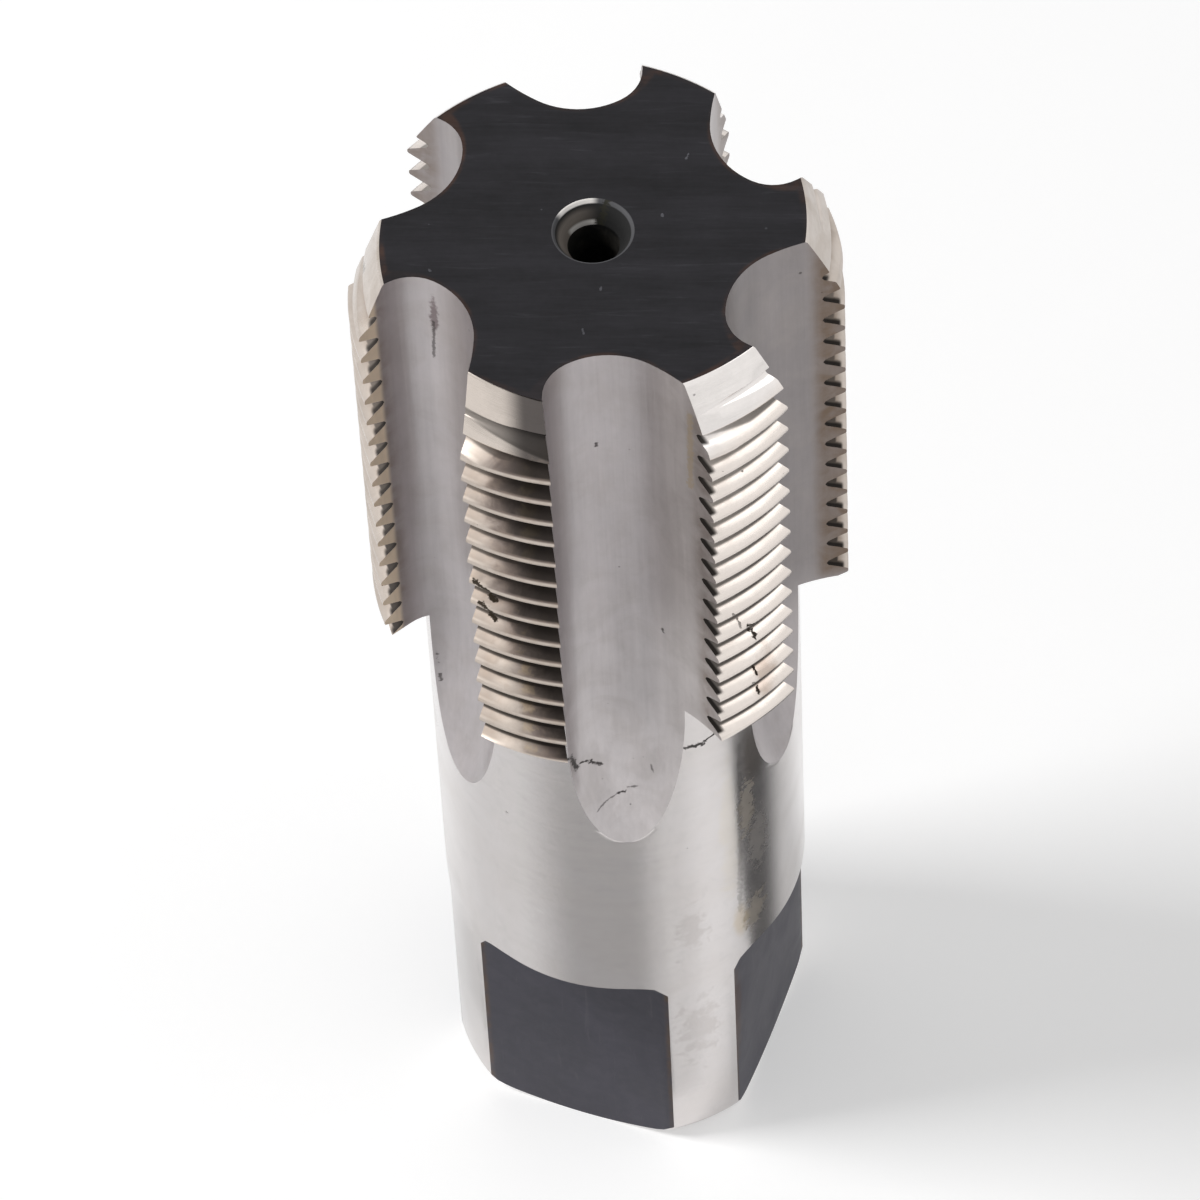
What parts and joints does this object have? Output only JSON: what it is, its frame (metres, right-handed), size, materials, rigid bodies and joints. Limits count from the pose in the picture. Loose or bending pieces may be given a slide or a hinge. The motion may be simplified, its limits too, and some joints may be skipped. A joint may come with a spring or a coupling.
{
  "type": "pipe tap",
  "caption": "Straight-fluted hand tap for a parallel pipe thread: chamfered lead, ground right-hand thread, round shank and milled driving square, all one piece.",
  "frame": {"origin": "centre of the square's end face, on the tap's axis", "axes": "+Z along the tap's axis towards the cutting end, +X and +Y square to two neighbouring flats of the driving square"},
  "size_m": [0.0318, 0.0332, 0.093],
  "materials": {
    "tool_steel": "ground bright, with a blackened front face and blackened square flats"
  },
  "bodies": {
    "root": {"pipe_tap": "tool_steel"}
  },
  "joints": []
}
